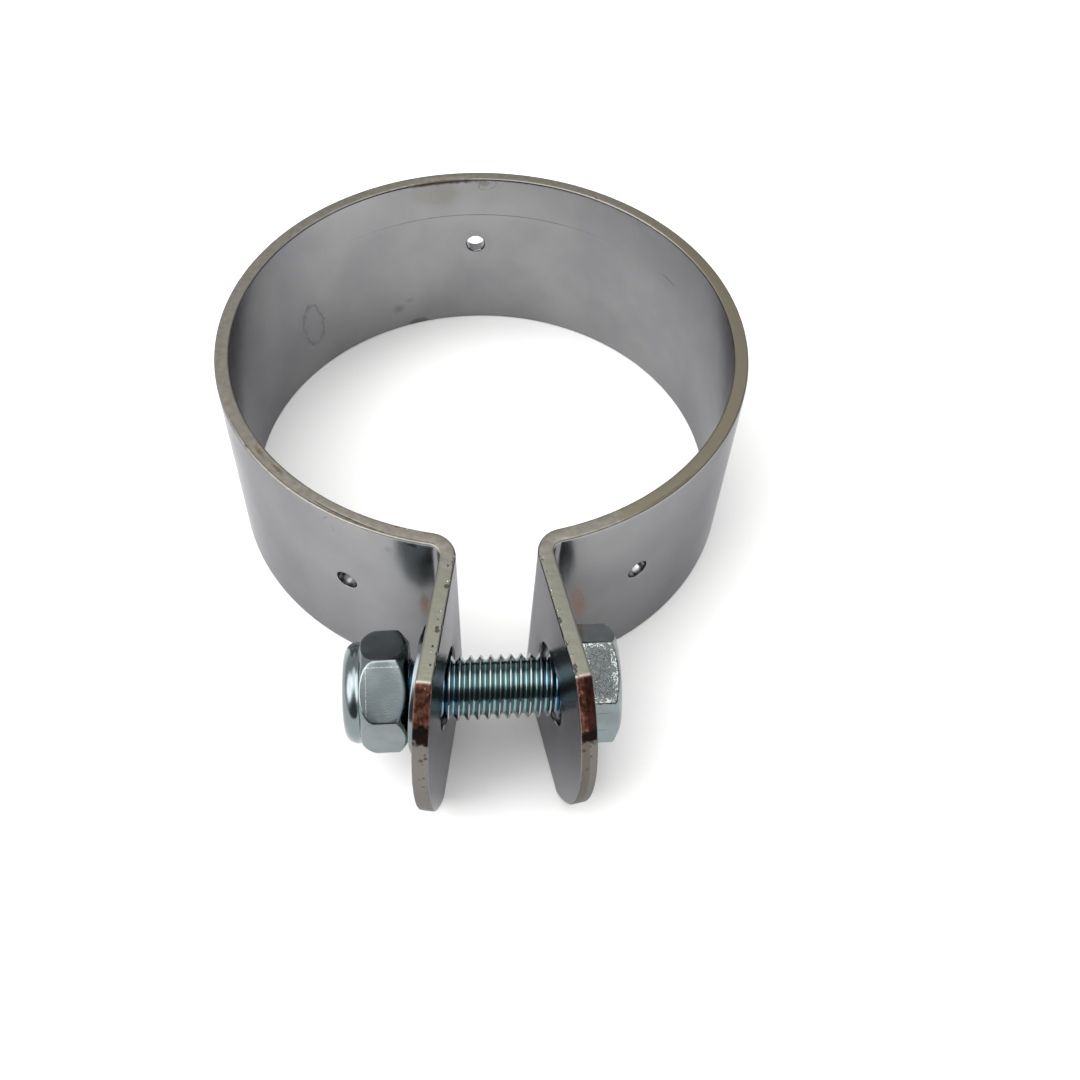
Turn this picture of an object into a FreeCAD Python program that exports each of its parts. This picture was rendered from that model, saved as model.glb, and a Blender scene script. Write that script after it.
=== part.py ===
# Exhaust clamp: a steel strip bent into a ring with two outward ears, and the bolt, washer and
# lock nut that draw the ears together. Millimetres. The ring's axis is Z, its lower rim lies on
# Z = 0, and the gap between the ears faces -Y. The bolt's head is on the +X side.
import FreeCAD, Part
import math
import os

# Strip and ring
strip_width = 30.0
strip_thickness = 2.0
bore_diameter = 71.0
rim_chamfer = 0.25  # the cut edges are broken before plating

# Ears, as they leave the ring
gap_at_bends = 9.3  # narrowest, at half height
bend_radius = 1.5  # inside of each bend
ear_splay = 10.0  # degrees away from the gap's middle plane
ear_lean = 1.2  # degrees, the gap is narrower at the lower rim
ear_straight_edge = 17.0  # top and bottom edge of an ear, from its bend to its corner
ear_end_radius = 20.5
ear_corner_rounding = 1.0
ear_hole_diameter = 10.5
bolt_reach = 47.85  # from the ring's axis to the bolt's axis

# Small radial holes in the wall
wall_hole_diameter = 3.0
wall_hole_height = 16.6
wall_hole_beside_gap = 31.0  # degrees from the gap to each front hole

# Bolt, M8
thread_diameter = 8.0
wrench_size = 13.0
head_height = 5.3
bearing_face_diameter = 11.6
bearing_face_height = 0.4
shank_length = 28.3
shank_point = 1.0  # chamfer at the shank's end
head_turn = 19.5  # degrees, how the hexagon stands at rest

chamfer_circle = 12.0  # where the turned-off corners meet the end face
head_chamfer = 30.0  # degrees from the end face

# Washer, flat on the splayed ear while the nut stays square to the bolt
washer_diameter = 16.0
washer_bore = 9.0
washer_thickness = 1.6
washer_edge = 0.2  # its outer edges are broken by this much

# Lock nut
nut_turn = 30.0  # degrees, as head_turn
nut_height = 8.0
nut_hex_height = 5.9
nut_chamfer = 42.0  # degrees from the bearing face
shoulder_radius = 3.0  # rounds the hexagon's corners off towards the collar
shoulder_start = 3.6  # height where that rounding begins
thread_clearance = 0.05  # radial, between bolt and nut
collar_diameter = 12.4
collar_rounding = 1.6
collar_mouth_diameter = 9.2
lip_thickness = 0.5
nylon_thickness = 1.7
nylon_outer_diameter = 10.6

# Worked out from the dimensions above
inner_radius = bore_diameter / 2
outer_radius = inner_radius + strip_thickness
outer_bend_radius = bend_radius + strip_thickness
middle_height = strip_width / 2
splay = math.radians(ear_splay)
lean_slope = math.tan(math.radians(ear_lean))
join_angle = math.radians(26.0)  # from the gap, where the ear pieces meet the round ring
ear_spare = 30.0  # straight length of an ear before its end is cut
nylon_floor = nut_height - lip_thickness - nylon_thickness  # from the nut's bearing face
seat_gap = 0.02  # between pieces that bear on each other
clear_radius = wrench_size * 0.58  # just outside a hexagon's corners
tiny = 1e-3

Vector = FreeCAD.Vector
along_x = Vector(1, 0, 0)
along_z = Vector(0, 0, 1)


def gap_half_width(height):
    """Half of the gap at the bends, at a height above the lower rim."""
    return gap_at_bends / 2 + lean_slope * (height - middle_height)


def bend_centre(height):
    """Centre of the right bend's circles, which touch the ring's two circles."""
    x = gap_half_width(height) + outer_bend_radius
    reach = inner_radius + outer_bend_radius
    return Vector(x, -math.sqrt(reach**2 - x**2), height)


def on_circle(centre, radius, angle, height):
    """The point of a level circle at an angle from +X, in radians."""
    return Vector(
        centre.x + radius * math.cos(angle), centre.y + radius * math.sin(angle), height
    )


def ear_outline(height):
    """Plan of the right-hand bend and ear: a strip from the round ring to past the ear's end."""
    origin = Vector(0, 0, height)
    bend = bend_centre(height)
    start = -math.pi / 2 + join_angle
    touch = math.atan2(bend.y, bend.x)
    leave = math.pi + splay  # where the bend turns into the straight ear
    arrive = touch + math.pi  # where the bend touches the ring
    ear = Vector(math.sin(splay), -math.cos(splay), 0) * ear_spare

    def arc(centre, radius, first, last):
        middle = (first + last) / 2
        ends = [on_circle(centre, radius, angle, height) for angle in (first, middle, last)]
        return Part.Arc(*ends).toShape()

    inner_leave = on_circle(bend, outer_bend_radius, leave, height)
    outer_leave = on_circle(bend, bend_radius, leave, height)
    edges = [
        arc(origin, inner_radius, start, touch),
        arc(bend, outer_bend_radius, arrive, leave),
        Part.makeLine(inner_leave, inner_leave + ear),
        Part.makeLine(inner_leave + ear, outer_leave + ear),
        Part.makeLine(outer_leave + ear, outer_leave),
        arc(bend, bend_radius, leave, arrive),
        arc(origin, outer_radius, touch, start),
        Part.makeLine(
            on_circle(origin, outer_radius, start, height),
            on_circle(origin, inner_radius, start, height),
        ),
    ]
    return Part.Wire(edges)


def ear_frame():
    """Start of the right ear's gap-side face at half height, its direction and its normal."""
    start = on_circle(
        bend_centre(middle_height), outer_bend_radius, math.pi + splay, middle_height
    )
    along = Vector(math.sin(splay), -math.cos(splay), 0)
    across = Vector(math.cos(splay), math.sin(splay), 0)
    return start, along, across


def ear_end_cutter():
    """What is left of a block when the ear's round end is taken out of it."""
    start, along, across = ear_frame()
    side = strip_thickness * 5
    block = Part.makeBox(ear_spare * 2, side, strip_width * 2)
    block.translate(Vector(0, -side / 2, -strip_width))
    turn = FreeCAD.Rotation(along, across, along_z)
    block.Placement = FreeCAD.Placement(
        start + along * (ear_straight_edge - strip_thickness), turn
    ).multiply(block.Placement)
    rise = math.sqrt(ear_end_radius**2 - middle_height**2)
    centre = start + along * (ear_straight_edge - rise)
    disc = Part.makeCylinder(ear_end_radius, side * 2, centre - across * side, across)
    return block.cut(disc)


def axis_point():
    """Where the bolt's axis meets the middle of the right ear's thickness."""
    start, along, across = ear_frame()
    reach = (bolt_reach + start.y) / math.cos(splay)
    return start + along * reach + across * strip_thickness / 2


def right_ear():
    """Bend and ear on the +X side, with the bolt hole and the round end."""
    ear = Part.makeLoft([ear_outline(0.0), ear_outline(strip_width)], True, True)
    ear = ear.cut(ear_end_cutter())
    across = ear_frame()[2]
    length = strip_thickness * 4
    hole = Part.makeCylinder(
        ear_hole_diameter / 2, length, axis_point() - across * length / 2, across
    )
    return ear.cut(hole)


def round_ring():
    """The ring's wall, open over the stretch that the ears take."""
    ring = Part.makeCylinder(outer_radius, strip_width)
    ring = ring.cut(Part.makeCylinder(inner_radius, strip_width))
    reach = outer_radius * 2
    half = reach * math.tan(join_angle)
    corners = [Vector(0, 0, 0), Vector(half, -reach, 0), Vector(-half, -reach, 0), Vector(0, 0, 0)]
    wedge = Part.Face(Part.makePolygon(corners)).extrude(Vector(0, 0, strip_width))
    return ring.cut(wedge)


def wall_holes():
    """Drills for the three small holes: one opposite the gap and one on each side of it."""
    drills = []
    for angle in (90.0, -90.0 - wall_hole_beside_gap, -90.0 + wall_hole_beside_gap):
        direction = Vector(math.cos(math.radians(angle)), math.sin(math.radians(angle)), 0)
        start = direction * (inner_radius - strip_thickness) + along_z * wall_hole_height
        drills.append(
            Part.makeCylinder(wall_hole_diameter / 2, strip_thickness * 3, start, direction)
        )
    return drills


def across_strip(edge):
    """Whether an edge only crosses the strip's thickness."""
    return edge.Curve.TypeId == "Part::GeomLine" and edge.Length < strip_thickness + tiny


def on_rim(edge):
    """Whether an edge lies in the upper or the lower rim."""
    heights = [vertex.Point.z for vertex in edge.Vertexes]
    return max(heights) < tiny or min(heights) > strip_width - tiny


def clamp_band():
    ear = right_ear()
    other_ear = ear.mirror(Vector(0, 0, 0), along_x)
    band = round_ring().multiFuse([ear, other_ear])
    for drill in wall_holes():
        band = band.cut(drill)
    past_holes = -bolt_reach - ear_hole_diameter / 2
    corners = [
        edge
        for edge in band.Edges
        if edge.CenterOfMass.y < past_holes and across_strip(edge) and on_rim(edge)
    ]
    band = band.makeFillet(ear_corner_rounding, corners)
    rims = [
        edge
        for edge in band.Edges
        if not across_strip(edge) and (on_rim(edge) or edge.CenterOfMass.y < past_holes)
    ]
    return band.makeChamfer(rim_chamfer, rims).Solids[0]


def hexagon(height, turn):
    """A hexagon prism along +Z, with flats facing its turn angle and every 60 degrees on."""
    corner_radius = wrench_size / 2 / math.cos(math.radians(30))
    corners = []
    for step in range(7):
        angle = math.radians(turn + 30 + 60 * step)
        corners.append(Vector(corner_radius * math.cos(angle), corner_radius * math.sin(angle), 0))
    return Part.Face(Part.makePolygon(corners)).extrude(Vector(0, 0, height))


def revolve(profile):
    """A solid of revolution about Z from (radius, height) corners."""
    points = [Vector(radius, 0, height) for radius, height in profile]
    face = Part.Face(Part.makePolygon(points + [points[0]]))
    return face.revolve(Vector(0, 0, 0), along_z, 360)


def circles(shape):
    return [edge for edge in shape.Edges if edge.Curve.TypeId == "Part::GeomCircle"]


def upper_rim(cylinder):
    """The circle at a cylinder's upper end."""
    height = cylinder.BoundBox.ZMax
    return [edge for edge in circles(cylinder) if edge.CenterOfMass.z > height - tiny]


def cone_rise(angle):
    """How far a chamfer climbs from its circle to just outside the hexagon's corners."""
    return (clear_radius - chamfer_circle / 2) * math.tan(math.radians(angle))


def head_hexagon(height):
    """The head's hexagon, its corners turned off by a cone at the end face."""
    side = height - cone_rise(head_chamfer)
    bottom = [(0, 0), (clear_radius, 0)]
    top = [(clear_radius, side), (chamfer_circle / 2, height), (0, height)]
    return hexagon(height, head_turn).common(revolve(bottom + top))


def nut_hexagon():
    """The nut's hexagon, coned at its bearing face and rounded to a shoulder at its collar."""
    bottom = [(0, 0), (chamfer_circle / 2, 0), (clear_radius, cone_rise(nut_chamfer))]
    top = [(clear_radius, nut_hex_height), (0, nut_hex_height)]
    chamfered = hexagon(nut_hex_height, nut_turn).common(revolve(bottom + top))
    shoulder = Part.makeCylinder(clear_radius, shoulder_start + shoulder_radius)
    return chamfered.common(shoulder.makeFillet(shoulder_radius, upper_rim(shoulder)))


def outer_face_at_axis():
    """X of the right ear's outer face on the bolt's axis."""
    start = ear_frame()[0]
    gap_side = start.x + (bolt_reach + start.y) * math.tan(splay)
    return gap_side + strip_thickness / math.cos(splay)


def ear_slope():
    """How steeply the ear's outer face leaves the plane that is square to the bolt."""
    return math.hypot(math.tan(splay), lean_slope)


def seat(radius):
    """X where a round face square to the bolt first touches the sloping ear."""
    return outer_face_at_axis() + radius * ear_slope()


def ear_normal():
    """Unit normal of the right ear's outer face, turned by the splay and the lean."""
    leave = math.pi + splay
    low = on_circle(bend_centre(0.0), bend_radius, leave, 0.0)
    high = on_circle(bend_centre(strip_width), bend_radius, leave, strip_width)
    return (high - low).cross(ear_frame()[1]).normalize()


def on_bolt(shape, x, away):
    """Lays a shape that was modelled up +Z on the bolt's axis, its Z = 0 at x, along +X or -X."""
    turn = FreeCAD.Rotation(along_z, along_x * away)
    shape.Placement = FreeCAD.Placement(Vector(x, -bolt_reach, middle_height), turn)
    return shape


def hex_bolt():
    face = Part.makeCylinder(bearing_face_diameter / 2, bearing_face_height)
    head = head_hexagon(head_height - bearing_face_height)
    head.translate(along_z * bearing_face_height)
    radius = thread_diameter / 2
    tip = radius - shank_point
    end = -shank_length
    shank = revolve([(0, 0), (radius, 0), (radius, end + shank_point), (tip, end), (0, end)])
    bolt = head.multiFuse([face, shank]).removeSplitter()
    return on_bolt(bolt, seat(bearing_face_diameter / 2), 1)


def flat_washer():
    """The washer, laid flat on the left ear's outer face and centred on the bolt."""
    ring = Part.makeCylinder(washer_diameter / 2, washer_thickness)
    ring = ring.cut(Part.makeCylinder(washer_bore / 2, washer_thickness))
    outer_rims = [edge for edge in circles(ring) if edge.Curve.Radius > washer_bore / 2 + tiny]
    ring = ring.makeChamfer(washer_edge, outer_rims)
    right = ear_normal()
    outward = Vector(-right.x, right.y, right.z)
    face = Vector(-outer_face_at_axis() - seat_gap, -bolt_reach, middle_height)
    ring.Placement = FreeCAD.Placement(face, FreeCAD.Rotation(along_z, outward))
    return ring


def nut_face():
    """X of the nut's bearing face, whose rim touches the tilted washer on one side."""
    across_washer = washer_thickness * math.hypot(1, ear_slope())
    return -seat(chamfer_circle / 2) - across_washer - 2 * seat_gap


def lock_nut():
    collar = Part.makeCylinder(
        collar_diameter / 2, nut_height - shoulder_start, along_z * shoulder_start
    )
    collar = collar.makeFillet(collar_rounding, upper_rim(collar))
    bore = thread_diameter / 2 + thread_clearance
    pocket = nylon_outer_diameter / 2
    mouth = collar_mouth_diameter / 2
    lip = nut_height - lip_thickness
    thread_end = [(0, 0), (bore, 0), (bore, nylon_floor)]
    nylon_pocket = [(pocket, nylon_floor), (pocket, lip)]
    hollow = revolve([*thread_end, *nylon_pocket, (mouth, lip), (mouth, nut_height), (0, nut_height)])
    nut = nut_hexagon().fuse(collar).cut(hollow)
    return on_bolt(nut.Solids[0], nut_face(), -1)


def nylon_ring():
    bore = thread_diameter / 2 + thread_clearance
    ring = Part.makeCylinder(nylon_outer_diameter / 2, nylon_thickness)
    ring = ring.cut(Part.makeCylinder(bore, nylon_thickness))
    return on_bolt(ring, nut_face() - nylon_floor, -1)


pieces = {
    "clamp_band": clamp_band(),
    "hex_bolt": hex_bolt(),
    "flat_washer": flat_washer(),
    "lock_nut": lock_nut(),
    "nylon_ring": nylon_ring(),
}
os.makedirs("parts", exist_ok=True)
for name, shape in pieces.items():
    shape.exportStep(f"parts/{name}.step")
    print(name, "volume", round(shape.Volume), "valid", shape.isValid())
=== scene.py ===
# Exhaust clamp, dressed: a plated strip bent into a ring with two ears, and an M8 bolt, washer and
# lock nut. Sizes in the dictionaries are millimetres, and makePiece turns them to metres. The ring's
# axis is Z, the gap between the ears faces -Y, and the lock nut is on the -X side.
import bpy
import math
import numpy as np
from mathutils import Matrix


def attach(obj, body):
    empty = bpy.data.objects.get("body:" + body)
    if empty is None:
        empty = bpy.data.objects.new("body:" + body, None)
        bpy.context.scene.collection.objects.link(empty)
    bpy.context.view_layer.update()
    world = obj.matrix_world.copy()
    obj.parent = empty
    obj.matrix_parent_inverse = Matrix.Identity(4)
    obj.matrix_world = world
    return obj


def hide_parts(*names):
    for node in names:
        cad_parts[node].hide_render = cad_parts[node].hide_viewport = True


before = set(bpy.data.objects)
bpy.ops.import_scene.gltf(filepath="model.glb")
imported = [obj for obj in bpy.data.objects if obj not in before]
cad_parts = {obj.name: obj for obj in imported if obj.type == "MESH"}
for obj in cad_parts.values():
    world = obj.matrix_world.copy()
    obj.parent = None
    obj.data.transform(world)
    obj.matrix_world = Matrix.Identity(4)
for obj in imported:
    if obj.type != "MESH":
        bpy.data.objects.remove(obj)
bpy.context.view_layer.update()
millimetre = 0.001
print("frame loaded:", ", ".join(sorted(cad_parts)))


def linearColour(code):
    # sRGB hex text to the linear colour that shader sockets take
    shares = [int(code[place:place + 2], 16) / 255 for place in (1, 3, 5)]
    linear = [s / 12.92 if s <= 0.04045 else ((s + 0.055) / 1.055) ** 2.4 for s in shares]
    return (*linear, 1.0)


def addNode(tree, kind, settings=None, inputs=None):
    # adds one shader node, sets its own values, then fills its sockets, by name or in order, with
    # links, numbers or sRGB hex colours
    node = tree.nodes.new("ShaderNode" + kind)
    for key, value in (settings or {}).items():
        setattr(node, key, value)
    sockets = inputs.items() if isinstance(inputs, dict) else enumerate(inputs or [])
    for key, value in sockets:
        if isinstance(value, bpy.types.NodeSocket):
            tree.links.new(value, node.inputs[key])
        elif isinstance(value, str):
            node.inputs[key].default_value = linearColour(value)
        else:
            node.inputs[key].default_value = value
    return node


def emptyMaterial(name):
    material = bpy.data.materials.new(name)
    material.use_nodes = True
    material.node_tree.nodes.clear()
    return material, material.node_tree


def makePiece(name, points, faces, node, body, material):
    # a mesh at the origin that rides on its body and stands for its CAD node
    mesh = bpy.data.meshes.new(name)
    mesh.from_pydata((points * millimetre).tolist(), [], faces)
    mesh.polygons.foreach_set("use_smooth", np.ones(len(mesh.polygons), bool))
    mesh.materials.append(material)
    piece = bpy.data.objects.new(name, mesh)
    bpy.context.collection.objects.link(piece)
    flat = piece.modifiers.new("flatFacesStayFlat", "WEIGHTED_NORMAL")
    flat.keep_sharp = True
    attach(piece, body)
    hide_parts(node)
    return piece


# The band
band = {
    "innerRadius": 35.5,
    "thickness": 2.0,
    "width": 30.0,
    "gapAtBends": 9.3,  # at half height
    "bendRadius": 1.5,
    "earSplay": math.radians(10),
    "earLean": math.radians(1.2),  # the gap is narrower at the lower rim
    "earEdge": 17.0,  # straight top edge of an ear
    "earEndRadius": 20.5,
    "boltReach": 47.85,  # from the ring's axis to the bolt's
    "earHole": 5.25,  # radius
    "wallHole": 1.5,  # radius
    "wallHoleHeight": 16.6,
    "wallHoleBesideGap": math.radians(31),
    "edgeRounding": 0.3,
    "punchedEdge": 0.06,  # the far side of a hole, where the punch came out
    "holeSink": 0.14,  # how far the punch drew the inner face in
    "sinkSpread": 0.8,
    "cell": 1.0,  # mesh spacing
    "steps": (86, 8, 22, 2, 8),  # to a front hole, to the bend, through it, to the bolt, to the end
    "bendMargin": (0.6, 0.4),  # finer cells start before the bend and end after it
    "wallSquare": 4.5,  # half the square of cells round a hole
    "earSquare": 7.0,
    "holeRings": 10,  # rings of points between the square and the hole
    "holeCrowding": 1.6,  # how much closer they stand beside the hole
}
bandMiddle = band["innerRadius"] + band["thickness"] / 2
outerBend = band["bendRadius"] + band["thickness"]
bendMiddle = band["bendRadius"] + band["thickness"] / 2
halfWidth = band["width"] / 2


def bendCentre(height):
    # x and y of the right bend's centre at each height; the bend touches the ring's circles
    half = band["gapAtBends"] / 2 + math.tan(band["earLean"]) * (height - halfWidth)
    x = half + outerBend
    return x, -np.sqrt((band["innerRadius"] + outerBend) ** 2 - x**2)


def stripLengths(height):
    # lengths along the strip's middle at each height: back to bend, and through the bend
    x, y = bendCentre(height)
    touch = np.arctan2(y, x)
    return (math.pi / 2 - touch) * bandMiddle, (band["earSplay"] - touch) * bendMiddle


def foldStrip(along, height, depth):
    # Folds the flat strip. along is measured from the back, positive to the right; depth from the
    # inner face to the outer. A point lies on the ring's arc, then on the bend's, then on the ear.
    x, y = bendCentre(height)
    ringLength, bendLength = stripLengths(height)
    distance = np.abs(along)
    ringAngle = math.pi / 2 - distance / bandMiddle
    throughBend = np.clip(distance - ringLength, 0, bendLength)
    bendAngle = np.arctan2(y, x) + math.pi + throughBend / bendMiddle
    straight = np.maximum(distance - ringLength - bendLength, 0)
    foldX = x + (outerBend - depth) * np.cos(bendAngle) + straight * math.sin(band["earSplay"])
    foldY = y + (outerBend - depth) * np.sin(bendAngle) - straight * math.cos(band["earSplay"])
    onRing = distance < ringLength
    pointX = np.where(onRing, (band["innerRadius"] + depth) * np.cos(ringAngle), foldX)
    pointY = np.where(onRing, (band["innerRadius"] + depth) * np.sin(ringAngle), foldY)
    return np.stack([np.where(along < 0, -pointX, pointX), pointY, height + 0 * pointX], -1)


def earEnd(height, inset):
    # where the strip ends at each height: an arc that lies straight across the leaning ear
    x, y = bendCentre(height)
    levelX, levelY = bendCentre(halfWidth)
    shift = (x - levelX) * math.sin(band["earSplay"]) - (y - levelY) * math.cos(band["earSplay"])
    arcCentre = band["earEdge"] - math.sqrt(band["earEndRadius"] ** 2 - halfWidth**2)
    arc = arcCentre + np.sqrt((band["earEndRadius"] - inset) ** 2 - (height - halfWidth) ** 2)
    return sum(stripLengths(height)) + arc - shift


def stations(start, spans):
    # places along a line: each span gives its far end and its number of equal steps
    places = np.array([start])
    for end, steps in spans:
        places = np.append(places, np.linspace(places[-1], end, steps + 1)[1:])
    return places


def bandHoles():
    # centre along and up the strip, radius, half width of the square of cells round it, dip
    ringLength, bendLength = stripLengths(halfWidth)
    start = ringLength + bendLength
    foldedY = foldStrip(np.array(start), np.array(halfWidth), 0.0)[1]
    boltAlong = start + (band["boltReach"] + foldedY) / math.cos(band["earSplay"])
    frontAlong = (math.pi - band["wallHoleBesideGap"]) * bandMiddle
    small = (band["wallHoleHeight"], band["wallHole"], band["wallSquare"], band["holeSink"])
    large = (halfWidth, band["earHole"], band["earSquare"], band["holeSink"] / 2)
    smallPlaces = [(along, *small) for along in (0.0, -frontAlong, frontAlong)]
    return smallPlaces + [(along, *large) for along in (-boltAlong, boltAlong)]


def roundEdge(loop, flat, outward):
    # Rows of points from the inner face's border, round its edge, over the cut edge, and round
    # the outer edge: an offset along the border's normal with the sine, and down with the cosine.
    # A hole's outer edge is nearly sharp.
    border, dip = flat[loop, :2], flat[loop, 2]
    tangent = np.roll(border, -1, 0) - np.roll(border, 1, 0)
    tangent /= np.linalg.norm(tangent, axis=1)[:, None]
    normal = np.stack([tangent[:, 1], -tangent[:, 0]], 1) * outward
    angles = np.radians([18, 36, 54, 72, 90])
    turned = np.sin(angles) ** 2 * (outward > 0)
    rounding = band["edgeRounding"]
    sharp = rounding if outward > 0 else band["punchedEdge"]
    reach = rounding * np.sin(angles)
    farReach = rounding - sharp + sharp * np.sin(angles)
    reach = np.concatenate([reach, reach[-1:], farReach[::-1]])[:, None, None]
    near = dip[None, :] + rounding * (1 - np.cos(angles))[:, None]
    half = np.full((1, len(loop)), band["thickness"] / 2)
    far = band["thickness"] - sharp * (1 - np.cos(angles[::-1]))[:, None] + 0 * dip[None, :]
    depth = np.concatenate([near, half, far])
    rim = np.concatenate([turned, [turned[-1]], turned[::-1]])
    places = border[None] + normal[None] * reach
    return places, depth, rim


def bandSurface():
    inset = band["edgeRounding"]
    holes = bandHoles()
    ringLength, bendLength = stripLengths(halfWidth)
    front, bolt = holes[2][0], holes[4][0]
    wallHalf, earHalf = holes[2][3], holes[4][3]
    wallCells, earCells = round(2 * wallHalf / band["cell"]), round(2 * earHalf / band["cell"])
    toHole, toBend, throughBend, toBolt, toEnd = band["steps"]
    before, after = band["bendMargin"]
    half = stations(wallHalf, [
        (front - wallHalf, toHole),
        (front + wallHalf, wallCells),
        (ringLength - before, toBend),
        (ringLength + bendLength + after, throughBend),
        (bolt - earHalf, toBolt),
        (bolt + earHalf, earCells),
        (bolt + earHalf + 1.0, toEnd),
    ])
    back = np.linspace(-wallHalf, wallHalf, wallCells + 1)[1:-1]
    columns = np.concatenate([-half[::-1], back, half])
    lowRows = [inset, (inset + 1.0) / 2]
    highRows = [band["width"] - lowRows[1], band["width"] - inset]
    rows = np.concatenate([lowRows, np.arange(1.0, band["width"]), highRows])
    along, height = np.meshgrid(columns, rows, indexing="ij")
    beyond = np.clip(np.abs(along) - bolt - earHalf, 0, 1)
    stretched = bolt + earHalf + beyond * (earEnd(height, inset) - bolt - earHalf)
    along = np.where(beyond > 0, np.sign(along) * stretched, along)
    number = np.arange(along.size).reshape(along.shape)
    flat = [np.stack([along, height, 0 * along], -1).reshape(-1, 3)]
    kept = np.ones((len(columns) - 1, len(rows) - 1), bool)
    quads, loops = [], []
    count = along.size
    for centre, level, radius, reach, sink in holes:
        first = np.argmin(np.abs(columns - (centre - reach)))
        last = np.argmin(np.abs(columns - (centre + reach)))
        low = np.argmin(np.abs(rows - round(level - reach)))
        high = low + last - first
        kept[first:last, low:high] = False
        square = np.concatenate([
            number[first:last, low], number[last, low:high],
            number[last:first:-1, high], number[first, high:low:-1],
        ])
        corner = flat[0][square, :2]
        middle = np.array([centre, level])
        offset = corner - middle
        onCircle = middle + offset / np.linalg.norm(offset, axis=1)[:, None] * (radius + inset)
        share = np.linspace(1, 0, band["holeRings"] + 1)[1:] ** band["holeCrowding"]
        share = share[:, None, None]
        rings = onCircle + (corner - onCircle) * share
        beside = np.linalg.norm(rings - middle, axis=-1) - radius - inset
        dip = sink * np.exp(-(beside / band["sinkSpread"]) ** 2)
        flat.append(np.concatenate([rings, dip[..., None]], -1).reshape(-1, 3))
        fresh = count + np.arange(rings.shape[0] * len(square)).reshape(rings.shape[:2])
        ringNumber = np.concatenate([square[None], fresh])
        count += fresh.size
        following = np.roll(ringNumber, -1, 1)
        between = [ringNumber[:-1], following[:-1], following[1:], ringNumber[1:]]
        quads.append(np.stack(between, -1).reshape(-1, 4))
        loops.append((ringNumber[-1], -1))
    cells = np.stack([number[:-1, :-1], number[1:, :-1], number[1:, 1:], number[:-1, 1:]], -1)
    quads.insert(0, cells[kept])
    outline = np.concatenate([number[:-1, 0], number[-1, :-1], number[:0:-1, -1], number[0, :0:-1]])
    loops.insert(0, (outline, 1))
    flat, quads = np.concatenate(flat), np.concatenate(quads)
    used, position = np.unique(quads, return_inverse=True)
    quads = position.reshape(-1, 4)
    renumber = np.zeros(len(flat), int)
    renumber[used] = np.arange(len(used))
    flat = flat[used]
    inner = foldStrip(flat[:, 0], flat[:, 1], flat[:, 2])
    outer = foldStrip(flat[:, 0], flat[:, 1], band["thickness"])
    points, faces = [inner, outer], [quads, quads[:, ::-1] + len(flat)]
    places = [flat[:, :2], flat[:, :2]]
    outside = [np.zeros(len(flat)), np.ones(len(flat))]
    rims = [np.zeros(2 * len(flat))]
    count = 2 * len(flat)
    for loop, outward in loops:
        loop = renumber[loop]
        spots, depth, rim = roundEdge(loop, flat, outward)
        points.append(foldStrip(spots[..., 0], spots[..., 1], depth).reshape(-1, 3))
        places.append(spots.reshape(-1, 2))
        outside.append((depth / band["thickness"]).ravel())
        rims.append(np.repeat(rim, len(loop)))
        strip = count + np.arange(spots.shape[0] * len(loop)).reshape(spots.shape[:2])
        count += strip.size
        strip = np.concatenate([loop[None], strip, loop[None] + len(flat)])
        following = np.roll(strip, -1, 1)
        wall = np.stack([strip[:-1], strip[1:], following[1:], following[:-1]], -1).reshape(-1, 4)
        faces.append(wall if outward > 0 else wall[:, ::-1])
    join = np.concatenate
    return join(points), join(faces), join(places), join(outside), join(rims)


# Bolt, washer and lock nut
fastener = {
    "wrenchSize": 13.0,
    "cornerRounding": 0.35,
    "chamferCircle": 6.0,  # radius where the turned-off corners meet the end face
    "headSlope": math.tan(math.radians(30)),
    "nutSlope": math.tan(math.radians(42)),
    "threadRadius": 4.0,
    "pitch": 1.25,
    "rootRounding": 0.33,
    "crestFlat": 0.0625,  # half the crest's width, in pitches
    "flatBorder": 0.12,  # over which a flat's own finish fades out
}


def roundAxis(radius, reach, angle, direction):
    # turns radius, distance along the bolt and angle from -Y up into points
    y = -band["boltReach"] - radius * np.cos(angle)
    z = halfWidth + radius * np.sin(angle)
    return np.stack([reach * direction + 0 * y, y + 0 * z, z], -1)


def hexagonAngles(turn):
    # columns round a hexagon, close together at its rounded corners
    side = np.array([0, 0.45, 0.9, 1.36, 2.2, 7, 13, 21, 30, 39, 47, 53, 57.8, 58.64, 59.1, 59.55])
    whole = np.concatenate([side + 60 * corner for corner in range(6)])
    return np.radians(whole + 30 + turn)


def hexagonRadius(angle, turn):
    # distance to a hexagon with rounded corners: a flat's line, or the corner's small circle
    apothem, rounding = fastener["wrenchSize"] / 2, fastener["cornerRounding"]
    sixth = math.pi / 3
    fromCorner = np.abs((angle - math.radians(turn)) % sixth - sixth / 2)
    centre = (apothem - rounding) / math.cos(sixth / 2)
    flat = apothem / np.cos(sixth / 2 - fromCorner)
    inside = np.maximum(rounding**2 - (centre * np.sin(fromCorner)) ** 2, 0)
    corner = centre * np.cos(fromCorner) + np.sqrt(inside)
    turnOff = sixth / 2 - math.atan((apothem - rounding) * math.tan(sixth / 2) / apothem)
    return np.where(fromCorner < turnOff, corner, flat)


def ringFaces(rows, columns, closed):
    # quads between rings of points; closed joins the last ring to the first
    number = np.arange(rows * columns).reshape(rows, columns)
    far = np.roll(number, -1, 0) if closed else number[1:]
    near = number if closed else number[:-1]
    quads = np.stack([near, far, np.roll(far, -1, 1), np.roll(near, -1, 1)], -1)
    return quads.reshape(-1, 4).tolist()


def turnedInside(faces):
    return [face[::-1] for face in faces]


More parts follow.
